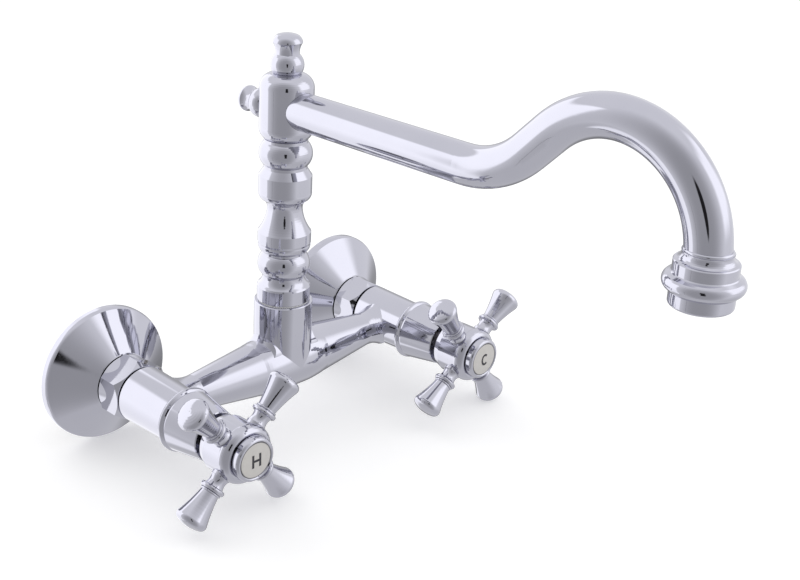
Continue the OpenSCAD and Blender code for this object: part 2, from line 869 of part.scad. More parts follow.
module grub_screw() {
    tip = keeper_groove_d / 2 + loose;
    end = collar_d / 2 - fine_edge;
    color("silver") at_column() translate([0, 0, grub_at]) rotate([-90, 0, 0]) difference() {
        turned([
            [0, tip], [grub_d / 2 - fine_edge, tip], [grub_d / 2, tip + fine_edge],
            [grub_d / 2, end], [0, end]
        ]);
        translate([0, 0, end - grub_socket_af])
            cylinder(r = grub_socket_af / sqrt(3), h = grub_socket_af + cut, $fn = 6);
    }
}

module swivel_o_rings() {
    color("dimgray") at_column() for (h = [lower_seal, upper_seal]) translate([0, 0, h])
        rotate_extrude() translate([swivel_d / 2 - seal_r, 0]) circle(r = seal_r, $fn = 24);
}

// Outline of the turned column between its foot and the head
function column_outline() =
    let (
        neck = neck_d / 2,
        foot = foot_d / 2,
        belly = vase_d / 2,
        waist = waist_d / 2,
        cup = cup_d / 2,
        swell = (bead_d - neck_d) / 2,
        vase_round = vase_foot + vase_h * vase_foot_share,
        vase_belly = vase_foot + vase_h * vase_belly_share
    )
    concat(
        [[foot - fine_edge, column_foot], [foot, column_foot + fine_edge]],
        [[foot, column_foot + foot_h - edge], [foot - fine_edge, column_foot + foot_h]],
        bow([foot - edge, column_foot + foot_h + fine_edge], [neck, lower_bead - lower_land_h], -fine_edge),
        bow([neck, lower_bead], [neck, lower_bead + bead_h], swell, 14),
        bow([neck, vase_foot], [belly - fine_edge / 2, vase_round], vase_swell),
        [[belly, vase_round + edge], [belly, vase_belly]],
        bow([belly, vase_belly + fine_edge], [waist, vase_waist], -vase_hollow, 10),
        [[waist, vase_waist + fine_edge]],
        bow([waist, vase_waist + edge], [waist_flare_d / 2, cup_bottom], -fine_edge),
        bow([neck, cup_bottom + fine_edge / 2], [cup, cup_side], cup_swell),
        [[cup, cup_top], [neck, cup_top + cup_chamfer_h]],
        bow([neck, upper_bead], [neck, upper_bead + bead_h], swell, 14),
        [[neck, head_bottom]]
    );

module spout_column() {
    plug = swivel_d / 2;
    groove_r = plug - 2 * seal_r - fit;
    half_groove = seal_groove_h / 2;
    color("gainsboro") at_column() difference() {
        turned(concat(
            [[0, plug_bottom], [plug - edge, plug_bottom], [plug, plug_bottom + edge]],
            [[plug, column_foot]],
            column_outline(),
            [[column_stud_d / 2, head_bottom], [column_stud_d / 2, head_bottom + column_stud_h]],
            [[0, head_bottom + column_stud_h]]
        ));
        for (h = [lower_seal, upper_seal])
            ring(plug + cut, groove_r, h - half_groove, h + half_groove);
        ring(
            plug + cut, keeper_groove_d / 2,
            grub_at - keeper_groove_h / 2, grub_at + keeper_groove_h / 2
        );
        bar(column_bore_d / 2, plug_bottom - cut, head_bottom + column_stud_h + cut);
    }
}

// Spout

module finial_solid(d, h) {
    r = d / 2;
    foot_r = r * finial_foot_share;
    neck_r = r * finial_neck_share;
    cap_r = r * finial_cap_share;
    crown_r = r * finial_crown_share;
    neck_at = h * finial_neck_h_share;
    cap_at = h * finial_cap_h_share;
    crown_at = h * finial_crown_h_share;
    turned(concat(
        [[0, -finial_stud_h], [finial_stud_d / 2 - fine_edge, -finial_stud_h]],
        [[finial_stud_d / 2, fine_edge - finial_stud_h], [finial_stud_d / 2, 0], [foot_r - fine_edge, 0]],
        bow([foot_r, fine_edge], [neck_r, neck_at], finial_bulb, 12),
        bow([neck_r, neck_at + fine_edge], [cap_r, cap_at], -fine_edge),
        bow([cap_r, cap_at + fine_edge / 2], [crown_r, crown_at], fine_edge, 8),
        bow([crown_r, crown_at], [0, h], fine_edge / 2, 6, 1)
    ));
}

module top_finial() {
    color("gainsboro") at_column() translate([0, 0, head_top]) finial_solid(finial_d, finial_h);
}

module rear_finial() {
    color("gainsboro") at_column() translate([0, finial_seat, spout_z - rear_drop])
        rotate([-90, 0, 0]) finial_solid(rear_finial_d, rear_finial_h);
}

module spout_head() {
    r = head_d / 2;
    foot_r = head_foot_d / 2;
    crown_r = head_crown_d / 2;
    round_end = head_bottom + head_round_h;
    shoulder = head_top - head_shoulder_h;
    stud_hole_r = finial_stud_d / 2 + fit;
    color("gainsboro") at_column() difference() {
        union() {
            turned(concat(
                [[0, head_bottom], [foot_r - fine_edge, head_bottom]],
                bow([foot_r, head_bottom + fine_edge], [r, round_end], head_swell),
                bow([r, shoulder], [crown_r, head_top], crown_swell, 12),
                [[0, head_top]]
            ));
            translate([0, 0, spout_z - rear_drop]) rotate([-90, 0, 0]) turned([
                [0, 0], [boss_d / 2 + edge, 0], [boss_d / 2 + edge, finial_seat - 2 * edge],
                [boss_d / 2, finial_seat], [0, finial_seat]
            ]);
        }
        bar(column_stud_d / 2 + fit, head_bottom - cut, head_bottom + column_stud_h + fit);
        bar(column_bore_d / 2, head_bottom, spout_z);
        translate([0, 0, spout_z]) rotate([90, 0, 0])
            bar(tube_d / 2 + fit, tube_start - fit, head_d);
        translate([0, 0, spout_z]) rotate([90, 0, 0])
            bar(tube_d / 2 - tube_wall, -column_bore_d / 2, tube_start);
        bar(stud_hole_r, head_top - finial_stud_h - fit, head_top + cut);
        translate([0, 0, spout_z - rear_drop]) rotate([-90, 0, 0])
            bar(stud_hole_r, finial_seat - finial_stud_h - fit, finial_seat + cut);
    }
}

// The path of the spout's tube with radius r: a level run, a bend up, a climb, the arch and the end
module tube_path(r, extra) {
    translate([tube_start - extra, 0, 0]) rotate([0, 90, 0])
        cylinder(r = r, h = level_run - tube_start + extra);
    translate([level_run, 0, rise_bend_r]) rotate([90, 0, 0]) rotate([0, 0, -90])
        rotate_extrude(angle = rise_angle) translate([rise_bend_r, 0]) circle(r = r);
    translate([level_run, 0, rise_bend_r]) rotate([0, -rise_angle, 0]) translate([0, 0, -rise_bend_r]) {
        rotate([0, 90, 0]) cylinder(r = r, h = climb_run);
        translate([climb_run, 0, -arch_r]) {
            rotate([90, 0, 0]) rotate([0, 0, -rise_angle])
                rotate_extrude(angle = 90 + rise_angle) translate([arch_r, 0]) circle(r = r);
            rotate([0, 90 + rise_angle, 0]) translate([0, 0, arch_r]) rotate([0, 90, 0])
                cylinder(r = r, h = tube_drop + extra);
        }
    }
}

module spout_tube() {
    color("gainsboro") at_column() translate([0, 0, spout_z]) rotate([0, 0, -90]) difference() {
        tube_path(tube_d / 2, 0);
        tube_path(tube_d / 2 - tube_wall, cut);
    }
}

module outlet_ferrule() {
    tube_r = tube_d / 2;
    side_r = ferrule_d / 2;
    bead_r = outlet_bead_d / 2;
    side_bead_r = bead_r - outlet_bead_round;
    side_top = ferrule_top - ferrule_flare_h;
    waterway_r = aerator_bore_d / 2 - washer_overlap;
    washer_seat = aerator_top + aerator_washer_h;
    color("gainsboro") at_outlet() difference() {
        turned(concat(
            [[0, ferrule_bottom], [bead_r - outlet_bead_foot, ferrule_bottom]],
            bow([side_bead_r, ferrule_bottom + edge], [side_bead_r, bead_top - edge], outlet_bead_round, 12),
            [[side_r + fine_edge, bead_top], [side_r, bead_top + fine_edge], [side_r, side_top - fine_edge]],
            bow([side_r - fine_edge, side_top], [tube_r + edge, ferrule_top], -ferrule_flare),
            [[0, ferrule_top]]
        ));
        bar(tube_r + braze_gap, tube_end + tube_drop, ferrule_top + cut);
        bar(tube_r + fit, tube_end - fit, ferrule_top);
        bar(tube_r - edge, washer_seat - cut, ferrule_top);
        bar(aerator_thread_d / 2 + fit, ferrule_bottom - cut, washer_seat);
        bar(waterway_r, washer_seat - cut, washer_seat + edge);
    }
}

module aerator_washer() {
    color("dimgray") at_outlet() ring(
        aerator_thread_d / 2 - fit, aerator_bore_d / 2 - washer_overlap,
        aerator_top, aerator_top + aerator_washer_h
    );
}

module aerator_shell() {
    r = aerator_d / 2;
    thread_r = aerator_thread_d / 2;
    bore = aerator_bore_d / 2;
    lip = aerator_lip_d / 2;
    shoulder = ferrule_bottom - seam;
    color("gainsboro") at_outlet() turned(concat(
        [[lip, aerator_bottom]],
        bow([r - aerator_round, aerator_bottom], [r, aerator_bottom + aerator_round], fine_edge, 6),
        [[r, shoulder], [thread_r, shoulder], [thread_r, aerator_top], [bore, aerator_top]],
        [[bore, aerator_bottom + aerator_lip_h], [lip, aerator_bottom + aerator_lip_h]]
    ));
}

// Places of the holes in the aerator's insert, on two rings
function insert_holes() =
    [for (row = [1, 2], i = [0:8 * row - 1])
        let (a = 45 * i / row, r = row * aerator_bore_d * insert_ring_share)
        r * [cos(a), sin(a)]];

module aerator_insert() {
    low = aerator_bottom + aerator_lip_h + screen_h + 2 * fit;
    color("whitesmoke") at_outlet() difference() {
        bar(aerator_bore_d / 2 - fit, low, low + insert_h);
        bar(aerator_bore_d / 2 - insert_skirt, low - cut, low + insert_h - insert_skirt);
        for (p = insert_holes()) translate([p[0], p[1], 0])
            bar(insert_hole_d / 2, low, low + insert_h + cut);
    }
}

module aerator_screen() {
    r = aerator_bore_d / 2 - fit;
    low = aerator_bottom + aerator_lip_h + fit;
    lines = floor((r - edge) / screen_pitch);
    color("silver") at_outlet() {
        ring(r, r - screen_rim, low, low + screen_h);
        intersection() {
            bar(r - edge, low, low + screen_h);
            translate([0, 0, low + screen_h / 2]) for (i = [-lines:lines], turn = [0, 90])
                rotate([0, 0, turn]) translate([0, i * screen_pitch, 0])
                    cube([2 * r, screen_bar, screen_h], center = true);
        }
    }
}

mixer_body();
barrel(hot);  // hot_barrel
barrel(cold);  // cold_barrel
slide_ring();  // swivel_slide_ring
grub_screw();  // spout_grub_screw
rose(hot);  // hot_rose
pipe_union(hot);  // hot_union
union_nipple(hot);  // hot_union_nipple
union_nut(hot);  // hot_union_nut
union_washer(hot);  // hot_union_washer
tail(hot);  // hot_tail
valve_body(hot);  // hot_valve_body
seat_seal(hot);  // hot_seat_seal
fixed_disc(hot);  // hot_fixed_disc
sleeve(hot);  // hot_sleeve
turning_disc(hot);  // hot_turning_disc
spindle(hot);  // hot_spindle
spindle_o_ring(hot);  // hot_spindle_o_ring
circlip(hot);  // hot_circlip
hub(hot, hot_rest_angle);  // hot_hub
arms(hot, hot_rest_angle);  // hot_arms
handle_screw(hot);  // hot_handle_screw
bezel(hot);  // hot_bezel
index_disc(hot);  // hot_index_disc
rose(cold);  // cold_rose
pipe_union(cold);  // cold_union
union_nipple(cold);  // cold_union_nipple
union_nut(cold);  // cold_union_nut
union_washer(cold);  // cold_union_washer
tail(cold);  // cold_tail
valve_body(cold);  // cold_valve_body
seat_seal(cold);  // cold_seat_seal
fixed_disc(cold);  // cold_fixed_disc
sleeve(cold);  // cold_sleeve
turning_disc(cold);  // cold_turning_disc
spindle(cold);  // cold_spindle
spindle_o_ring(cold);  // cold_spindle_o_ring
circlip(cold);  // cold_circlip
hub(cold, cold_rest_angle);  // cold_hub
arms(cold, cold_rest_angle);  // cold_arms
handle_screw(cold);  // cold_handle_screw
bezel(cold);  // cold_bezel
index_disc(cold);  // cold_index_disc
spout_column();
swivel_o_rings();
spout_head();
spout_tube();
top_finial();
rear_finial();
outlet_ferrule();
aerator_washer();
aerator_shell();
aerator_insert();
aerator_screen();
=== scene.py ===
"""Looks of a wall-mounted mixer tap: its finishes, the letters on its discs, and a studio."""

import math

import bmesh
import bpy
from mathutils import Matrix, Vector


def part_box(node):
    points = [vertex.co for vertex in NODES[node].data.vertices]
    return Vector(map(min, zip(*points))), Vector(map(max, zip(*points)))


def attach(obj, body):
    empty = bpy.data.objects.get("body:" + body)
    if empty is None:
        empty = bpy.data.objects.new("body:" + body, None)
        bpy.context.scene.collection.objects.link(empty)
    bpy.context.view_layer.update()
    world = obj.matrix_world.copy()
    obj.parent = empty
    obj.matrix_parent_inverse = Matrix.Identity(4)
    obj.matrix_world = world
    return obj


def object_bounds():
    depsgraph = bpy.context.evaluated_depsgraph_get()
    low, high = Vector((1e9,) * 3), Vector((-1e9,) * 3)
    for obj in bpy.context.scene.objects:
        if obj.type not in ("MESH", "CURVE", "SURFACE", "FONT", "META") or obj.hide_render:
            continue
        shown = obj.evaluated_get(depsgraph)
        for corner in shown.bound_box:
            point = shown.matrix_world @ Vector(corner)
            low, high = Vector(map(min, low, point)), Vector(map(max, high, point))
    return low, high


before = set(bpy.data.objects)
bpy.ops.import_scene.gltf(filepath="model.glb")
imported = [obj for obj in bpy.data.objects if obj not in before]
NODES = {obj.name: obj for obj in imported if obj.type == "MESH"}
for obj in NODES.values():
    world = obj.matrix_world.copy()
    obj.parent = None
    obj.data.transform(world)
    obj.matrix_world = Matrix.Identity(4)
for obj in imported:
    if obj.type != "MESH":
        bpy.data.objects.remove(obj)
CAD_BOX = [list(corner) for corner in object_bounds()]
SIDES = ("hot", "cold")

bl_info = {
    "name": "Wall mixer tap finishes",
    "version": (1, 0, 0),
    "blender": (4, 5, 0),
    "location": "3D View > Sidebar > Tap",
    "description": "Chrome, porcelain and brass finishes for a wall mixer tap, and its studio",
    "category": "Object",
}

# One millimetre in metres
MM = 0.001
# Half inch pipe thread, 14 turns to the inch
THREAD_PITCH_MM = 1.814
# The point that the camera looks at, in metres
LOOK_AT = Vector((0.0837, -0.0451, 0.0213))
# The tent's size and place, in metres
TENT_RADIUS = 1.3
TENT_MIDDLE = Vector((0, -0.12, 0.08))
# The white of the tent's cloth, and the level of its dim front as a share of that white
TENT_WHITE = "#FCFCFF"
FRONT_LEVEL = 0.47


# Helpers


def linear(hex_colour):
    """The linear colour, with full alpha, of an sRGB colour written as #RRGGBB."""
    parts = [int(hex_colour[i : i + 2], 16) / 255 for i in (1, 3, 5)]
    return (*(c / 12.92 if c <= 0.04045 else ((c + 0.055) / 1.055) ** 2.4 for c in parts), 1.0)


def opaque(colour):
    """A colour property as a socket value with full alpha."""
    return (colour[0], colour[1], colour[2], 1.0)


def add(tree, kind, inputs=(), **settings):
    """Adds a node, sets what it is given, and fills its inputs with values or links."""
    made = tree.nodes.new(kind)
    for name, value in settings.items():
        setattr(made, name, value)
    for name, value in dict(inputs).items():
        if isinstance(value, bpy.types.NodeSocket):
            tree.links.new(value, made.inputs[name])
        else:
            made.inputs[name].default_value = value
    return made


def new_material(name):
    """An empty node material and its output node."""
    material = bpy.data.materials.new(name)
    material.use_nodes = True
    material.node_tree.nodes.clear()
    return material, material.node_tree.nodes.new("ShaderNodeOutputMaterial")


def dress(material, *names):
    """Gives a finish to CAD nodes."""
    for name in names:
        mesh = NODES[name].data
        if not mesh.materials:
            mesh.materials.append(material)
        for i in range(len(mesh.materials)):
            mesh.materials[i] = material


def new_piece(context, name, mesh, material):
    """An object made of a bmesh, which it frees, with one material."""
    data = bpy.data.meshes.new(name)
    mesh.to_mesh(data)
    mesh.free()
    data.materials.append(material)
    piece = bpy.data.objects.new(name, data)
    context.scene.collection.objects.link(piece)
    return piece


def on_both_sides(*names):
    """The names of the same pieces on the hot and the cold side."""
    return [f"{side}_{name}" for side in SIDES for name in names]


def direction(azimuth, elevation):
    """A unit vector. Azimuth 0 is straight out of the wall, and it grows towards the cold side."""
    across = math.cos(elevation)
    return Vector((math.sin(azimuth) * across, -math.cos(azimuth) * across, math.sin(elevation)))


# Finishes


def chrome_plate(name, settings, ripple_mm, rise_mm, grain):
    """Decorative chrome over nickel on polished brass.

    A mirror a little darker and bluer than silver. What shows it as metalwork is how reflections
    run: a faint ripple left by the buffing wheel, a haze of wiping marks, and small tone changes.
    grain stretches the wiping marks along the piece, as (x, y, z).
    """
    material, out = new_material(name)
    tree = material.node_tree
    place = add(tree, "ShaderNodeTexCoord").outputs["Object"]
    # Tone of the plate changes over about 25 mm, by less than one step in a hundred
    cloud = add(tree, "ShaderNodeTexNoise",
                {"Vector": place, "Scale": 1 / (25 * MM), "Detail": 2.0})
    tone = add(
        tree, "ShaderNodeMix",
        {
            0: cloud.outputs["Fac"], 6: opaque(settings.chrome_dark),
            7: opaque(settings.chrome_light),
        },
        data_type="RGBA",
    )
    # Wiping marks 1.5 mm apart across the grain. Real ones are finer than the render can show.
    stretch = add(tree, "ShaderNodeVectorMath", {0: place, 1: grain}, operation="MULTIPLY")
    wipe = add(
        tree, "ShaderNodeTexNoise",
        {"Vector": stretch.outputs[0], "Scale": 1 / (1.5 * MM), "Detail": 3.0, "Roughness": 0.6},
    )
    haze = add(
        tree, "ShaderNodeMapRange",
        {
            "Value": wipe.outputs["Fac"], "From Min": 0.35, "From Max": 0.75,
            "To Min": settings.gloss_low, "To Max": settings.gloss_high,
        },
    )
    ripple = add(
        tree, "ShaderNodeTexNoise", {"Vector": place, "Scale": 1 / (ripple_mm * MM), "Detail": 1.0}
    )
    bump = add(
        tree, "ShaderNodeBump",
        {"Height": ripple.outputs["Fac"], "Strength": 1.0, "Distance": rise_mm * MM},
    )
    shader = add(
        tree, "ShaderNodeBsdfPrincipled",
        {
            "Base Color": tone.outputs[2], "Metallic": 1.0, "Roughness": haze.outputs[0],
            "Normal": bump.outputs[0],
        },
    )
    tree.links.new(shader.outputs[0], out.inputs[0])
    return material


def turned_brass(name, settings, light, dark, thread_pitch_mm=0.0):
    """Free-cutting brass, turned, and left bare or dipped in dull nickel.

    Bare it is yellow, and browner where water has been. Nickel makes it a warm grey. Both keep
    the fine rings of the tool. With a thread pitch, the part behind the wall's face has the
    ridges of a pipe thread.
    """
    ring_mm, ring_rise_mm, ridge_rise_mm = 0.5, 0.004, 0.45
    material, out = new_material(name)
    tree = material.node_tree
    place = add(tree, "ShaderNodeTexCoord").outputs["Object"]
    axes = add(tree, "ShaderNodeSeparateXYZ", {0: place})
    tarnish = add(tree, "ShaderNodeTexNoise",
                  {"Vector": place, "Scale": 1 / (9 * MM), "Detail": 5.0})
    colour = add(
        tree, "ShaderNodeMix",
        {0: tarnish.outputs["Fac"], 6: opaque(light), 7: opaque(dark)},
        data_type="RGBA",
    )
    rough = add(
        tree, "ShaderNodeMapRange",
        {"Value": tarnish.outputs["Fac"], "To Min": 0.22, "To Max": 0.42},
    )
    # Tool rings along the piece, coarser than real ones so that they show
    ring = add(tree, "ShaderNodeMath", {0: axes.outputs["Y"], 1: 2 * math.pi / (ring_mm * MM)},
               operation="MULTIPLY")
    ring_wave = add(tree, "ShaderNodeMath", {0: ring.outputs[0]}, operation="SINE")
    height = add(tree, "ShaderNodeMath", {0: ring_wave.outputs[0], 1: ring_rise_mm * MM},
                 operation="MULTIPLY")
    if thread_pitch_mm:
        # A helix: the height follows the place along the thread plus the turn round its axis
        side = add(tree, "ShaderNodeMath", {0: axes.outputs["X"]}, operation="ABSOLUTE")
        off = add(tree, "ShaderNodeMath", {0: side.outputs[0], 1: settings.inlet_half},
                  operation="SUBTRACT")
        turn = add(tree, "ShaderNodeMath", {0: axes.outputs["Z"], 1: off.outputs[0]},
                   operation="ARCTAN2")
        along = add(tree, "ShaderNodeMath",
                    {0: axes.outputs["Y"], 1: 2 * math.pi / (thread_pitch_mm * MM)},
                    operation="MULTIPLY")
        phase = add(tree, "ShaderNodeMath", {0: along.outputs[0], 1: turn.outputs[0]},
                    operation="ADD")
        ridge = add(tree, "ShaderNodeMath", {0: phase.outputs[0]}, operation="SINE")
        behind = add(tree, "ShaderNodeMapRange",
                     {"Value": axes.outputs["Y"], "From Min": -1 * MM, "From Max": 0.0,
                      "To Min": 0.0, "To Max": ridge_rise_mm * MM})
        cut = add(tree, "ShaderNodeMath", {0: ridge.outputs[0], 1: behind.outputs[0]},
                  operation="MULTIPLY")
        height = add(tree, "ShaderNodeMath", {0: height.outputs[0], 1: cut.outputs[0]},
                     operation="ADD")
    bump = add(tree, "ShaderNodeBump",
               {"Height": height.outputs[0], "Strength": 1.0, "Distance": 1.0})
    shader = add(
        tree, "ShaderNodeBsdfPrincipled",
        {
            "Base Color": colour.outputs[2], "Metallic": 1.0, "Roughness": rough.outputs[0],
            "Normal": bump.outputs[0],
        },
    )
    tree.links.new(shader.outputs[0], out.inputs[0])
    return material


def stainless_steel(name, settings):
    """Stainless steel, turned or woven, satin: greyer and softer in its reflections than chrome."""
    material, out = new_material(name)
    tree = material.node_tree
    place = add(tree, "ShaderNodeTexCoord").outputs["Object"]
    grit = add(tree, "ShaderNodeTexNoise",
               {"Vector": place, "Scale": 1 / (0.6 * MM), "Detail": 3.0})
    rough = add(tree, "ShaderNodeMapRange",
                {"Value": grit.outputs["Fac"], "To Min": 0.2, "To Max": 0.36})
    shade = add(tree, "ShaderNodeMix",
                {0: grit.outputs["Fac"], 6: opaque(settings.steel), 7: linear("#8E8F92")},
                data_type="RGBA")
    shader = add(tree, "ShaderNodeBsdfPrincipled",
                 {"Base Color": shade.outputs[2], "Metallic": 1.0, "Roughness": rough.outputs[0]})
    tree.links.new(shader.outputs[0], out.inputs[0])
    return material


def two_shades(name, patch_mm, detail, shades, roughness, ior):
    """A solid, unmetallic finish whose colour wanders between two shades in patches of a size."""
    material, out = new_material(name)
    tree = material.node_tree
    place = add(tree, "ShaderNodeTexCoord").outputs["Object"]
    patches = add(tree, "ShaderNodeTexNoise",
                  {"Vector": place, "Scale": 1 / (patch_mm * MM), "Detail": detail})
    colour = add(tree, "ShaderNodeMix",
                 {0: patches.outputs["Fac"], 6: shades[0], 7: shades[1]}, data_type="RGBA")
    shader = add(tree, "ShaderNodeBsdfPrincipled",
                 {"Base Color": colour.outputs[2], "Roughness": roughness, "IOR": ior})
    tree.links.new(shader.outputs[0], out.inputs[0])
    return material


def nitrile_rubber(name):
    """Moulded nitrile rubber for seals: near black, dull, with a powdery bloom."""
    shades = linear("#19191B"), linear("#2C2C2F")
    return two_shades(name, patch_mm=2, detail=4.0, shades=shades, roughness=0.75, ior=1.52)


def lapped_alumina(name):
    """Alumina ceramic, sintered and lapped flat: chalk white, with a soft even shine."""
    shades = linear("#E9E7E1"), linear("#F3F1EC")
    return two_shades(name, patch_mm=0.8, detail=2.0, shades=shades, roughness=0.3, ior=1.76)


def moulded_acetal(name):
    """Acetal plastic, injection moulded: milky white with a waxy shine."""
    shades = linear("#E3E3E1"), linear("#EEEEEC")
    return two_shades(name, patch_mm=4, detail=2.0, shades=shades, roughness=0.38, ior=1.48)


def glazed_porcelain(name, settings):
    """White porcelain under a clear glaze: a soft ivory body with a hard wet shine on top.

    A grey ring of painted shade darkens the thin joint at the disc's edge.
    """
    # Painted shade: from the first radius out to the second, the disc's colour turns to dark grey,
    # as shade in the joint at its edge
    unshaded_radius, joint_radius = 7.85 * MM, 8.2 * MM
    material, out = new_material(name)
    tree = material.node_tree
    place = add(tree, "ShaderNodeTexCoord").outputs["Object"]
    axes = add(tree, "ShaderNodeSeparateXYZ", {0: place})
    side = add(tree, "ShaderNodeMath", {0: axes.outputs["X"]}, operation="ABSOLUTE")
    across = add(tree, "ShaderNodeMath", {0: side.outputs[0], 1: settings.inlet_half},
                 operation="SUBTRACT")
    rise = add(tree, "ShaderNodeMath", {0: axes.outputs["Z"], 1: settings.valve_height},
               operation="SUBTRACT")
    flat = add(tree, "ShaderNodeCombineXYZ", {0: across.outputs[0], 1: rise.outputs[0]})
    radius = add(tree, "ShaderNodeVectorMath", {0: flat.outputs[0]}, operation="LENGTH")
    painted_joint_shade = add(tree, "ShaderNodeMapRange",
                {"Value": radius.outputs["Value"], "From Min": unshaded_radius,
                 "From Max": joint_radius})
    cloud = add(tree, "ShaderNodeTexNoise", {"Vector": place, "Scale": 1 / (3 * MM), "Detail": 3.0})
    body = add(tree, "ShaderNodeMix",
               {0: cloud.outputs["Fac"], 6: opaque(settings.porcelain), 7: linear("#CDCAC6")},
               data_type="RGBA")
    # The body's colour gives way to a painted dark grey in the joint at the edge, which stands in
    # for the shade there
    colour = add(tree, "ShaderNodeMix",
                 {0: painted_joint_shade.outputs[0], 6: body.outputs[2], 7: linear("#4A4A50")}, data_type="RGBA")
    ripple = add(tree, "ShaderNodeTexNoise", {"Vector": place, "Scale": 1 / (2.5 * MM)})
    bump = add(tree, "ShaderNodeBump",
               {"Height": ripple.outputs["Fac"], "Strength": 1.0, "Distance": 0.01 * MM})
    shader = add(
        tree, "ShaderNodeBsdfPrincipled",
        {
            "Base Color": colour.outputs[2], "Roughness": 0.35, "IOR": 1.5,
            "Coat Weight": 0.7, "Coat Roughness": 0.06, "Coat IOR": 1.5,
            "Normal": bump.outputs[0], "Coat Normal": bump.outputs[0],
        },
    )
    tree.links.new(shader.outputs[0], out.inputs[0])
    return material


def fired_enamel(name, settings):
    """Black enamel, printed and fired on the glaze: nearly flat, a shade uneven, glossy."""
    shades = opaque(settings.enamel), linear("#33323A")
    return two_shades(name, patch_mm=0.4, detail=2.0, shades=shades, roughness=0.25, ior=1.52)


# What a user can change


class TapFinishes(bpy.types.PropertyGroup):
    """Colours and gloss of the tap's finishes."""

    chrome_light: bpy.props.FloatVectorProperty(
        name="Chrome, light", description="Colour of the chrome where it is cleanest",
        subtype="COLOR", size=3, min=0, max=1, default=linear("#C8C8D1")[:3])
    chrome_dark: bpy.props.FloatVectorProperty(
        name="Chrome, dark", description="Colour of the chrome where the plate is thinnest",
        subtype="COLOR", size=3, min=0, max=1, default=linear("#C0C0CA")[:3])
    gloss_low: bpy.props.FloatProperty(
        name="Polish", description="Roughness where the chrome is cleanest",
        min=0, max=1, default=0.03)
    gloss_high: bpy.props.FloatProperty(
        name="Wiping marks", description="Roughness along the wiping marks",
        min=0, max=1, default=0.085)
    brass: bpy.props.FloatVectorProperty(
        name="Brass", description="Colour of the bare brass of the body's tails",
        subtype="COLOR", size=3, min=0, max=1, default=linear("#D9BF7C")[:3])
    brass_tarnish: bpy.props.FloatVectorProperty(
        name="Brass, tarnished", description="Colour of the brass where it has gone brown",
        subtype="COLOR", size=3, min=0, max=1, default=linear("#A98A4E")[:3])
    nickel: bpy.props.FloatVectorProperty(
        name="Nickel", description="Colour of the nickel on the unions and the valves",
        subtype="COLOR", size=3, min=0, max=1, default=linear("#BDB8AE")[:3])
    nickel_dull: bpy.props.FloatVectorProperty(
        name="Nickel, dull", description="Colour of the nickel where it has gone dull",
        subtype="COLOR", size=3, min=0, max=1, default=linear("#99948A")[:3])
    steel: bpy.props.FloatVectorProperty(
        name="Steel", description="Colour of the stainless steel screws and screen",
        subtype="COLOR", size=3, min=0, max=1, default=linear("#B7B8BA")[:3])
    porcelain: bpy.props.FloatVectorProperty(
        name="Porcelain", description="Colour of the discs in the handles",
        subtype="COLOR", size=3, min=0, max=1, default=linear("#D6D3CF")[:3])
    enamel: bpy.props.FloatVectorProperty(
        name="Enamel", description="Colour of the letters on the discs",
        subtype="COLOR", size=3, min=0, max=1, default=linear("#1E1D22")[:3])
    inlet_half: bpy.props.FloatProperty(
        name="Half the inlet spacing", description="Distance of each valve's axis from the middle",
        subtype="DISTANCE", unit="LENGTH", default=75 * MM)
    valve_height: bpy.props.FloatProperty(
        name="Valve height", description="Height of the valve axes above the wall inlets",
        subtype="DISTANCE", unit="LENGTH", default=8 * MM)


class TapLetters(bpy.types.PropertyGroup):
    """Sizes of the plain letters on the porcelain discs."""

    height: bpy.props.FloatProperty(
        name="Height", description="Height of each letter",
        subtype="DISTANCE", unit="LENGTH", default=6.2 * MM)
    width: bpy.props.FloatProperty(
        name="Width", description="Width of each letter",
        subtype="DISTANCE", unit="LENGTH", default=5 * MM)
    stroke: bpy.props.FloatProperty(
        name="Stroke", description="Width of the letters' strokes",
        subtype="DISTANCE", unit="LENGTH", default=1.15 * MM)
    thickness: bpy.props.FloatProperty(
        name="Thickness", description="How far the enamel stands on the disc",
        subtype="DISTANCE", unit="LENGTH", default=0.06 * MM)


class TapFillet(bpy.types.PropertyGroup):
    """Sizes of the brazed fillet where the spout's tube enters its end collar."""

    tube_radius: bpy.props.FloatProperty(
        name="Tube radius", description="Outer radius of the tube that the fillet sits on",
        subtype="DISTANCE", unit="LENGTH", default=8.75 * MM)
    width: bpy.props.FloatProperty(
        name="Width", description="How far the fillet's foot stands out from the tube",
        subtype="DISTANCE", unit="LENGTH", default=0.79 * MM)
    height: bpy.props.FloatProperty(
        name="Height", description="How far the fillet climbs the tube",
        subtype="DISTANCE", unit="LENGTH", default=1.2 * MM)


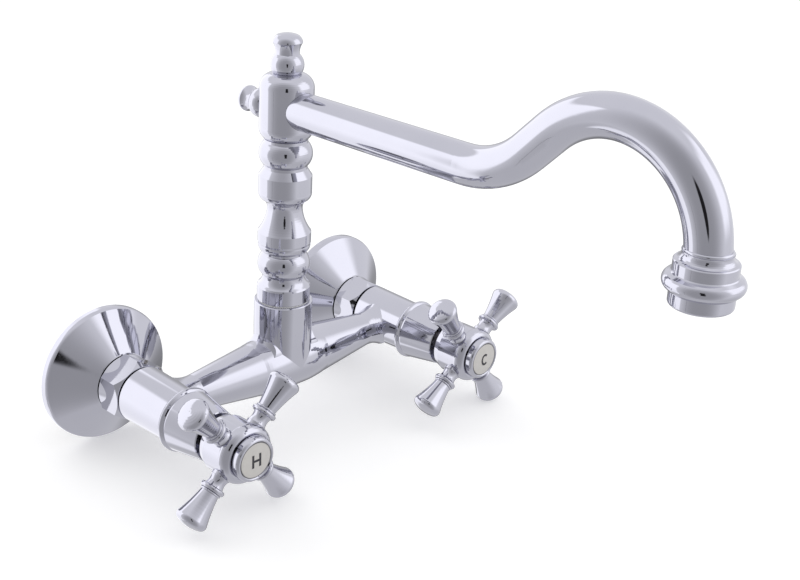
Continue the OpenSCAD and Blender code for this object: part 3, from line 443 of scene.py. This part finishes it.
class TapStage(bpy.types.PropertyGroup):
    """The studio: floor, tent, lamps and camera."""

    floor_colour: bpy.props.FloatVectorProperty(
        name="Floor", description="Colour of the floor",
        subtype="COLOR", size=3, min=0, max=1, default=linear("#EDEDEE")[:3])
    floor_lift: bpy.props.FloatProperty(
        name="Floor lift", description="White added to the floor where it is seen as background",
        min=0, max=1, default=0.33)
    world_level: bpy.props.FloatProperty(
        name="Ambient level", description="Strength of the soft light from all round",
        min=0, max=2, default=0.8)
    lamp_power: bpy.props.FloatProperty(
        name="Lamp", description="Power of the soft lamp at the left", unit="POWER", default=2.2)
    lens_drop: bpy.props.FloatProperty(
        name="Lens opening", description="Distance of the dark opening's middle below the lens",
        subtype="DISTANCE", unit="LENGTH", default=0.08)
    camera_azimuth: bpy.props.FloatProperty(
        name="Azimuth", description="Turn of the camera from straight in front of the wall",
        subtype="ANGLE", unit="ROTATION", default=math.radians(-47.651))
    camera_elevation: bpy.props.FloatProperty(
        name="Elevation", description="Height angle of the camera",
        subtype="ANGLE", unit="ROTATION", default=math.radians(22.872))
    camera_roll: bpy.props.FloatProperty(
        name="Roll", description="Tilt of the camera about its own axis",
        subtype="ANGLE", unit="ROTATION", default=math.radians(3.183))
    camera_distance: bpy.props.FloatProperty(
        name="Distance", description="Distance from the camera to the point it looks at",
        subtype="DISTANCE", unit="LENGTH", default=0.6952)
    camera_lens: bpy.props.FloatProperty(
        name="Lens", description="Focal length for a sensor 36 mm wide, in millimetres",
        default=58.41)


# Pieces


class TAP_OT_wall_pieces(bpy.types.Operator):
    """Finish the roses, the union nuts and the unions behind them"""

    bl_idname = "tap.wall_pieces"
    bl_label = "Wall pieces"

    def execute(self, context):
        finishes = context.scene.tap_finishes
        spun = chrome_plate("chromed_spun_brass", finishes,
                            ripple_mm=14, rise_mm=0.012, grain=(1, 1, 1))
        milled = chrome_plate("chromed_milled_brass", finishes,
                              ripple_mm=9, rise_mm=0.008, grain=(1, 0.2, 1))
        dress(spun, *on_both_sides("rose"))
        dress(milled, *on_both_sides("union_nut"))
        nickel = (finishes.nickel, finishes.nickel_dull)
        thread = turned_brass("nickel_plated_pipe_thread", finishes, *nickel, THREAD_PITCH_MM)
        dress(thread, *on_both_sides("union"))
        nipple = turned_brass("nickel_plated_nipple", finishes, *nickel)
        dress(nipple, *on_both_sides("union_nipple"))
        dress(nitrile_rubber("nitrile_rubber_washer"), *on_both_sides("union_washer"))
        return {"FINISHED"}


class TAP_OT_body(bpy.types.Operator):
    """Finish the cast mixer body with its barrels and tails, its slide ring and its grub screw"""

    bl_idname = "tap.body"
    bl_label = "Mixer body"

    def execute(self, context):
        finishes = context.scene.tap_finishes
        cast = chrome_plate("chromed_cast_brass", finishes,
                            ripple_mm=11, rise_mm=0.02, grain=(0.15, 1, 1))
        dress(cast, "mixer_body", *on_both_sides("barrel"))
        brass = turned_brass("turned_brass_tail", finishes, finishes.brass, finishes.brass_tarnish)
        dress(brass, *on_both_sides("tail"))
        dress(moulded_acetal("moulded_acetal_ring"), "swivel_slide_ring")
        dress(stainless_steel("stainless_steel_screw", finishes), "spout_grub_screw")
        return {"FINISHED"}


class TAP_OT_valves(bpy.types.Operator):
    """Finish the bell sleeves and the ceramic valves inside them"""

    bl_idname = "tap.valves"
    bl_label = "Valves"

    def execute(self, context):
        finishes = context.scene.tap_finishes
        sleeve = chrome_plate("chromed_turned_brass_sleeve", finishes,
                              ripple_mm=10, rise_mm=0.01, grain=(1, 0.15, 1))
        dress(sleeve, *on_both_sides("sleeve"))
        valve = turned_brass("nickel_plated_valve", finishes, finishes.nickel,
                             finishes.nickel_dull)
        dress(valve, *on_both_sides("valve_body", "spindle"))
        dress(lapped_alumina("lapped_alumina_disc"), *on_both_sides("fixed_disc", "turning_disc"))
        dress(nitrile_rubber("nitrile_rubber_seal"), *on_both_sides("seat_seal", "spindle_o_ring"))
        dress(stainless_steel("stainless_steel_clip", finishes), *on_both_sides("circlip"))
        return {"FINISHED"}


class TAP_OT_handles(bpy.types.Operator):
    """Finish the hubs, the arms, the screws and the rings round the discs"""

    bl_idname = "tap.handles"
    bl_label = "Handles"

    def execute(self, context):
        finishes = context.scene.tap_finishes
        turned = chrome_plate("chromed_turned_brass_handle", finishes,
                              ripple_mm=8, rise_mm=0.01, grain=(1, 1, 1))
        dress(turned, *on_both_sides("hub", "arms", "bezel"))
        dress(stainless_steel("stainless_steel_handle_screw", finishes),
              *on_both_sides("handle_screw"))
        dress(glazed_porcelain("glazed_porcelain_disc", finishes), *on_both_sides("index_disc"))
        return {"FINISHED"}


def letter_outline(letter, sizes):
    """Strokes of a plain letter as closed outlines of (across, up) points round its middle."""
    w, h, s = sizes.width / 2, sizes.height / 2, sizes.stroke
    if letter == "H":
        post = [(-w, -h), (-w + s, -h), (-w + s, h), (-w, h)]
        bar = [(-w + s, -s / 2), (w - s, -s / 2), (w - s, s / 2), (-w + s, s / 2)]
        return [post, [(-x, y) for x, y in reversed(post)], bar]
    # A C: a ring left open by so many degrees each way on its right
    steps, gap = 40, 45
    angles = [math.radians(gap + (360 - 2 * gap) * i / steps) for i in range(steps + 1)]
    outer = [(w * math.cos(a), h * math.sin(a)) for a in angles]
    inner = [((w - s) * math.cos(a), (h - s) * math.sin(a)) for a in reversed(angles)]
    return [outer + inner]


def add_stroke(mesh, outline, thickness):
    """Adds a closed plate to a mesh: its outline lies at depth 0, and its face stands out."""
    back = [mesh.verts.new((x, 0, z)) for x, z in outline]
    face = [mesh.verts.new((x, -thickness, z)) for x, z in outline]
    mesh.faces.new(back)
    mesh.faces.new(face)
    for i in range(len(outline)):
        mesh.faces.new((back[i - 1], back[i], face[i], face[i - 1]))


class TAP_OT_letters(bpy.types.Operator):
    """Lay a plain enamel H on the hot disc and a C on the cold one"""

    bl_idname = "tap.letters"
    bl_label = "Letters"

    def execute(self, context):
        sizes = context.scene.tap_letters
        finishes = context.scene.tap_finishes
        enamel = fired_enamel("fired_black_enamel", finishes)
        # The disc is domed by 0.2 mm, so a letter starts just under its crown
        sink = 0.05 * MM
        for side, letter in zip(SIDES, "HC"):
            low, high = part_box(f"{side}_index_disc")
            middle = (low + high) / 2
            mesh = bmesh.new()
            for outline in letter_outline(letter, sizes):
                add_stroke(mesh, outline, sizes.thickness)
            bmesh.ops.recalc_face_normals(mesh, faces=mesh.faces)
            piece = new_piece(context, f"{side}_letter", mesh, enamel)
            piece.location = (middle.x, low.y + sink, middle.z)
            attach(piece, f"{side}_handle")
        return {"FINISHED"}


class TAP_OT_column(bpy.types.Operator):
    """Finish the turned column, its seals, the head and the two finials"""

    bl_idname = "tap.column"
    bl_label = "Column"

    def execute(self, context):
        finishes = context.scene.tap_finishes
        turned = chrome_plate("chromed_turned_brass_column", finishes,
                              ripple_mm=9, rise_mm=0.01, grain=(1, 1, 0.15))
        dress(turned, "spout_column", "spout_head", "top_finial", "rear_finial")
        dress(nitrile_rubber("nitrile_rubber_swivel_seal"), "swivel_o_rings")
        return {"FINISHED"}


def fillet_ring(sizes):
    """A ring with a sloping face, as the braze and the plating leave it round a tube.

    It is turned about the upright axis, and its foot is at height 0. Its inner side lies inside
    the tube's wall.
    """
    bite, steps = 0.3 * MM, 96
    inner, width, height = sizes.tube_radius, sizes.width, sizes.height
    outline = [(inner - bite, 0), (inner + width, 0), (inner, height), (inner - bite, height)]
    # The side of the outline, counted from its first point, that is seen
    slope = 1
    mesh = bmesh.new()
    rows = []
    for i in range(steps):
        a = 2 * math.pi * i / steps
        rows.append([mesh.verts.new((r * math.cos(a), r * math.sin(a), z)) for r, z in outline])
    for row, following in zip(rows, rows[1:] + rows[:1]):
        for j in range(len(outline)):
            k = (j + 1) % len(outline)
            mesh.faces.new((row[j], following[j], following[k], row[k])).smooth = j == slope
    bmesh.ops.recalc_face_normals(mesh, faces=mesh.faces)
    return mesh


class TAP_OT_spout(bpy.types.Operator):
    """Finish the spout's tube, its end collar and the aerator, and braze the tube to the collar"""

    bl_idname = "tap.spout"
    bl_label = "Spout"

    def execute(self, context):
        finishes = context.scene.tap_finishes
        drawn = chrome_plate("chromed_drawn_brass_tube", finishes,
                             ripple_mm=16, rise_mm=0.02, grain=(1, 0.15, 1))
        turned = chrome_plate("chromed_turned_brass_outlet", finishes,
                              ripple_mm=9, rise_mm=0.01, grain=(1, 1, 0.2))
        dress(drawn, "spout_tube")
        dress(turned, "outlet_ferrule", "aerator_shell")
        low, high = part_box("outlet_ferrule")
        middle = (low + high) / 2
        # The fillet's foot starts just under the collar's top face
        sink = 0.02 * MM
        fillet = new_piece(context, "brazed_fillet", fillet_ring(context.scene.tap_fillet), turned)
        fillet.location = (middle.x, middle.y, high.z - sink)
        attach(fillet, "swivel_spout")
        dress(nitrile_rubber("nitrile_rubber_outlet_washer"), "aerator_washer")
        dress(moulded_acetal("moulded_acetal_insert"), "aerator_insert")
        dress(stainless_steel("stainless_steel_screen", finishes), "aerator_screen")
        return {"FINISHED"}


# Stage


def seen_as_background(tree):
    """1 for rays from the camera, a mirror or glass, which show the background; 0 for others."""
    path = add(tree, "ShaderNodeLightPath").outputs
    either = add(tree, "ShaderNodeMath",
                 {0: path["Is Camera Ray"], 1: path["Is Glossy Ray"]}, operation="MAXIMUM")
    return add(tree, "ShaderNodeMath",
               {0: either.outputs[0], 1: path["Is Transmission Ray"]}, operation="MAXIMUM")


def glow(tree, aim, place, full, fade):
    """1 within an angle of a place on the cloth, falling to 0 at a wider one.

    aim is the way to the cloth. The place is its azimuth and elevation, and all are in degrees.
    """
    axis = direction(math.radians(place[0]), math.radians(place[1]))
    near = add(tree, "ShaderNodeVectorMath", {0: aim, 1: tuple(axis)}, operation="DOT_PRODUCT")
    return add(
        tree, "ShaderNodeMapRange",
        {
            "Value": near.outputs["Value"], "From Min": math.cos(math.radians(fade)),
            "From Max": math.cos(math.radians(full)),
        },
        interpolation_type="SMOOTHSTEP",
    ).outputs[0]


def window(tree, aim, azimuth, half_wide, low, high, soft):
    """1 inside a window of the cloth, 0 outside it, in degrees. aim is the way to the cloth."""
    across = add(tree, "ShaderNodeVectorMath",
                 {0: aim, 1: tuple(direction(math.radians(azimuth + 90), 0))},
                 operation="DOT_PRODUCT")
    ahead = add(tree, "ShaderNodeVectorMath",
                {0: aim, 1: tuple(direction(math.radians(azimuth), 0))}, operation="DOT_PRODUCT")
    turn = add(tree, "ShaderNodeMath", {0: across.outputs["Value"], 1: ahead.outputs["Value"]},
               operation="ARCTAN2")
    turn = add(tree, "ShaderNodeMath", {0: turn.outputs[0]}, operation="ABSOLUTE")
    height = add(tree, "ShaderNodeMath",
                 {0: add(tree, "ShaderNodeSeparateXYZ", {0: aim}).outputs["Z"]},
                 operation="ARCSINE")
    inside = 1.0
    for value, edge, side in ((turn, half_wide, 1), (height, high, 1), (height, low, -1)):
        ramp = add(
            tree, "ShaderNodeMapRange",
            {
                "Value": value.outputs[0], "From Min": math.radians(edge + side * soft),
                "From Max": math.radians(edge - side * soft),
            },
            interpolation_type="SMOOTHSTEP",
        )
        inside = add(tree, "ShaderNodeMath", {0: ramp.outputs[0], 1: inside},
                     operation="MULTIPLY").outputs[0]
    return inside


def tent_cloth():
    """White tent cloth as the chrome sees it: two lit windows, a dim front and a dark zip."""
    # Each place as azimuth and elevation in degrees, and each level as a share of the white
    front, front_height = (-58, 0), 0.72
    behind, below = (132, -23), (0, -90)
    below_level, shade, zip_shade = 0.73, -0.5, -0.3
    # Windows: azimuth of the middle, half width, lower and upper edge, softness, added level
    windows = ((-166, 39, -50, 36, 3, 0.62), (44, 26, 4, 50, 8, 0.6))
    # The zip: azimuth, elevation of its middle, then sines of its half width and its soft edge
    zip_way, zip_height, zip_half, zip_edge = -102, -27, 0.005, 0.011

    material, out = new_material("white_tent_cloth")
    tree = material.node_tree
    place = add(tree, "ShaderNodeTexCoord").outputs["Object"]
    aim = add(tree, "ShaderNodeVectorMath", {0: place}, operation="NORMALIZE").outputs[0]
    # The dim front is taller than it is wide, and the cloth below the tap is dimmer all round
    flat = add(tree, "ShaderNodeVectorMath", {0: aim, 1: (1, 1, front_height)},
               operation="MULTIPLY")
    flat = add(tree, "ShaderNodeVectorMath", {0: flat.outputs[0]}, operation="NORMALIZE")
    dim = add(tree, "ShaderNodeMapRange",
              {"Value": glow(tree, flat.outputs[0], front, full=10, fade=80),
               "To Min": 1.0, "To Max": FRONT_LEVEL})
    low = add(tree, "ShaderNodeMapRange",
              {"Value": glow(tree, aim, below, full=45, fade=85),
               "To Min": 1.0, "To Max": below_level})
    lit = add(tree, "ShaderNodeMath", {0: dim.outputs[0], 1: low.outputs[0]},
              operation="MINIMUM")
    for *edges, gain in windows:
        lit = add(tree, "ShaderNodeMath",
                  {0: window(tree, aim, *edges), 1: gain, 2: lit.outputs[0]},
                  operation="MULTIPLY_ADD")
    # The cloth behind the tap is in its own shade, which draws a grey line along every edge
    lit = add(tree, "ShaderNodeMath",
              {0: glow(tree, aim, behind, full=12, fade=40), 1: shade, 2: lit.outputs[0]},
              operation="MULTIPLY_ADD")
    # A zip low down on the left side of the front, under one degree wide
    off = add(tree, "ShaderNodeVectorMath",
              {0: aim, 1: tuple(direction(math.radians(zip_way + 90), 0))},
              operation="DOT_PRODUCT")
    off = add(tree, "ShaderNodeMath", {0: off.outputs["Value"]}, operation="ABSOLUTE")
    line = add(tree, "ShaderNodeMapRange",
               {"Value": off.outputs[0], "From Min": zip_half, "From Max": zip_edge,
                "To Min": zip_shade, "To Max": 0.0})
    lit = add(tree, "ShaderNodeMath",
              {0: line.outputs[0],
               1: glow(tree, aim, (zip_way, zip_height), full=14, fade=22),
               2: lit.outputs[0]},
              operation="MULTIPLY_ADD")
    shader = add(tree, "ShaderNodeEmission",
                 {"Color": linear(TENT_WHITE), "Strength": lit.outputs[0]})
    tree.links.new(shader.outputs[0], out.inputs[0])
    return material


def lens_opening(half_wide, half_tall):
    """The dark opening for the lens in the cloth, an oval that fades into the cloth round it."""
    # The share of the way out from the middle that is all dark, and the level there
    dark_share, dark = 0.7, 0.02
    material, out = new_material("lens_opening_in_cloth")
    tree = material.node_tree
    place = add(tree, "ShaderNodeTexCoord").outputs["Object"]
    share = add(tree, "ShaderNodeVectorMath",
                {0: place, 1: (1 / half_wide, 1 / half_tall, 0)}, operation="MULTIPLY")
    out_by = add(tree, "ShaderNodeVectorMath", {0: share.outputs[0]}, operation="LENGTH")
    level = add(tree, "ShaderNodeMapRange",
                {"Value": out_by.outputs["Value"], "From Min": dark_share, "From Max": 1.0,
                 "To Min": dark, "To Max": FRONT_LEVEL},
                interpolation_type="SMOOTHSTEP")
    shader = add(tree, "ShaderNodeEmission",
                 {"Color": linear(TENT_WHITE), "Strength": level.outputs[0]})
    tree.links.new(shader.outputs[0], out.inputs[0])
    return material


def mirror_only(piece):
    """Lets only reflections see a piece of the studio."""
    piece.visible_camera = False
    piece.visible_diffuse = False
    piece.visible_shadow = False
    piece.visible_volume_scatter = False


class TAP_OT_stage(bpy.types.Operator):
    """Build the floor, the tent, the lamps and the camera"""

    bl_idname = "tap.stage"
    bl_label = "Stage"

    def execute(self, context):
        stage = context.scene.tap_stage
        self.world(context, stage)
        self.floor(context, stage)
        self.tent(context, stage)
        self.lamps(context, stage)
        self.camera(context, stage)
        context.scene.view_settings.view_transform = "Standard"
        return {"FINISHED"}

    def world(self, context, stage):
        """Soft even light from all round, seen as plain white."""
        world = bpy.data.worlds.new("studio_air")
        context.scene.world = world
        world.use_nodes = True
        tree = world.node_tree
        tree.nodes.clear()
        strength = add(tree, "ShaderNodeMapRange",
                       {"Value": seen_as_background(tree).outputs[0],
                        "To Min": stage.world_level, "To Max": 1.0})
        air = add(tree, "ShaderNodeBackground",
                  {"Color": (1.0, 1.0, 1.0, 1.0), "Strength": strength.outputs[0]})
        out = add(tree, "ShaderNodeOutputWorld")
        tree.links.new(air.outputs[0], out.inputs[0])

    def floor(self, context, stage):
        """Plain pale floor that stays white as background and keeps the tap's soft shadow."""
        material, out = new_material("pale_floor")
        tree = material.node_tree
        paint = add(tree, "ShaderNodeBsdfDiffuse", {"Color": opaque(stage.floor_colour)})
        lift = add(tree, "ShaderNodeMath",
                   {0: seen_as_background(tree).outputs[0], 1: stage.floor_lift},
                   operation="MULTIPLY")
        white = add(tree, "ShaderNodeEmission",
                    {"Color": (1.0, 1.0, 1.0, 1.0), "Strength": lift.outputs[0]})
        both = add(tree, "ShaderNodeAddShader", {0: paint.outputs[0], 1: white.outputs[0]})
        tree.links.new(both.outputs[0], out.inputs[0])
        place = Matrix.Translation((0, 0, CAD_BOX[0][2]))
        half = 4.0
        # The chrome sees the tent's cloth there, as it does all round
        self.card(context, "floor", half, material, place).visible_glossy = False

    def card(self, context, name, half, material, place, half_up=None):
        """A flat stage card in its own XY plane, half wide each way, and half_up tall each way."""
        up = half if half_up is None else half_up
        data = bpy.data.meshes.new(name)
        data.from_pydata([(-half, -up, 0), (half, -up, 0), (half, up, 0), (-half, up, 0)], [],
                         [(0, 1, 2, 3)])
        data.materials.append(material)
        piece = bpy.data.objects.new(name, data)
        piece.matrix_world = place
        context.scene.collection.objects.link(piece)
        return piece

    def tent(self, context, stage):
        """A round cloth tent, and the dark opening in it where the lens looks in."""
        # The opening stands this far behind the lens, in metres, and this far out from its middle
        behind_lens, half_wide, half_tall = 0.03, 0.08, 0.19
        mesh = bmesh.new()
        bmesh.ops.create_uvsphere(mesh, u_segments=64, v_segments=32, radius=TENT_RADIUS)
        tent = new_piece(context, "tent", mesh, tent_cloth())
        tent.location = TENT_MIDDLE
        mirror_only(tent)
        turn, place = self.camera_pose(stage)
        place = place + turn.col[2].xyz * behind_lens - turn.col[1].xyz * stage.lens_drop
        opening = self.card(context, "lens_opening", half_wide, lens_opening(half_wide, half_tall),
                            Matrix.Translation(place) @ turn, half_tall)
        mirror_only(opening)

    def lamps(self, context, stage):
        """One wide soft lamp at the left and a weaker one at the right, for the pale surfaces."""
        # In metres: each lamp's width, and its distance from the point that it lights
        size, distance, middle = 0.9, 1.1, Vector((0, -0.12, 0.05))
        for name, azimuth, elevation, share in (("lamp_left", -165, 35, 1.0),
                                                ("lamp_right", 55, 40, 0.5)):
            data = bpy.data.lights.new(name, "AREA")
            data.size = size
            data.energy = stage.lamp_power * share
            lamp = bpy.data.objects.new(name, data)
            aim = direction(math.radians(azimuth), math.radians(elevation))
            lamp.rotation_euler = aim.to_track_quat("Z", "Y").to_euler()
            lamp.location = middle + aim * distance
            lamp.visible_glossy = False
            context.scene.collection.objects.link(lamp)

    def camera_pose(self, stage):
        """The camera's turn and place."""
        back = direction(stage.camera_azimuth, stage.camera_elevation)
        right = Vector((math.cos(stage.camera_azimuth), math.sin(stage.camera_azimuth), 0))
        up = back.cross(right)
        cos, sin = math.cos(stage.camera_roll), math.sin(stage.camera_roll)
        turn = Matrix((cos * right + sin * up, cos * up - sin * right, back)).transposed().to_4x4()
        return turn, LOOK_AT + back * stage.camera_distance

    def camera(self, context, stage):
        """The camera that the photo's view was fitted with."""
        data = bpy.data.cameras.new("camera")
        data.sensor_width = 36
        data.lens = stage.camera_lens
        data.clip_start = 0.01
        camera = bpy.data.objects.new("camera", data)
        turn, place = self.camera_pose(stage)
        camera.matrix_world = Matrix.Translation(place) @ turn
        context.scene.collection.objects.link(camera)
        context.scene.camera = camera


class TAP_PT_panel(bpy.types.Panel):
    """Sidebar panel that lists the tap's pieces and its stage."""

    bl_label = "Wall mixer tap"
    bl_idname = "TAP_PT_panel"
    bl_space_type = "VIEW_3D"
    bl_region_type = "UI"
    bl_category = "Tap"

    def draw(self, context):
        for operator in OPERATORS:
            self.layout.operator(operator.bl_idname)
        for group in GROUPS:
            settings = getattr(context.scene, GROUPS[group])
            box = self.layout.box()
            for name in group.__annotations__:
                box.prop(settings, name)


GROUPS = {
    TapFinishes: "tap_finishes", TapLetters: "tap_letters", TapFillet: "tap_fillet",
    TapStage: "tap_stage",
}
OPERATORS = (
    TAP_OT_wall_pieces, TAP_OT_body, TAP_OT_valves, TAP_OT_handles, TAP_OT_letters,
    TAP_OT_column, TAP_OT_spout, TAP_OT_stage,
)
CLASSES = (*GROUPS, *OPERATORS, TAP_PT_panel)


def register():
    """Adds the classes and the scene's settings."""
    for item in CLASSES:
        bpy.utils.register_class(item)
    for group, name in GROUPS.items():
        setattr(bpy.types.Scene, name, bpy.props.PointerProperty(type=group))


def unregister():
    """Takes the settings and the classes away again."""
    for name in GROUPS.values():
        delattr(bpy.types.Scene, name)
    for item in reversed(CLASSES):
        bpy.utils.unregister_class(item)


def main():
    """Builds everything in order."""
    register()
    bpy.ops.tap.wall_pieces()
    bpy.ops.tap.body()
    bpy.ops.tap.valves()
    bpy.ops.tap.handles()
    bpy.ops.tap.letters()
    bpy.ops.tap.column()
    bpy.ops.tap.spout()
    bpy.ops.tap.stage()


if __name__ == "__main__":
    main()
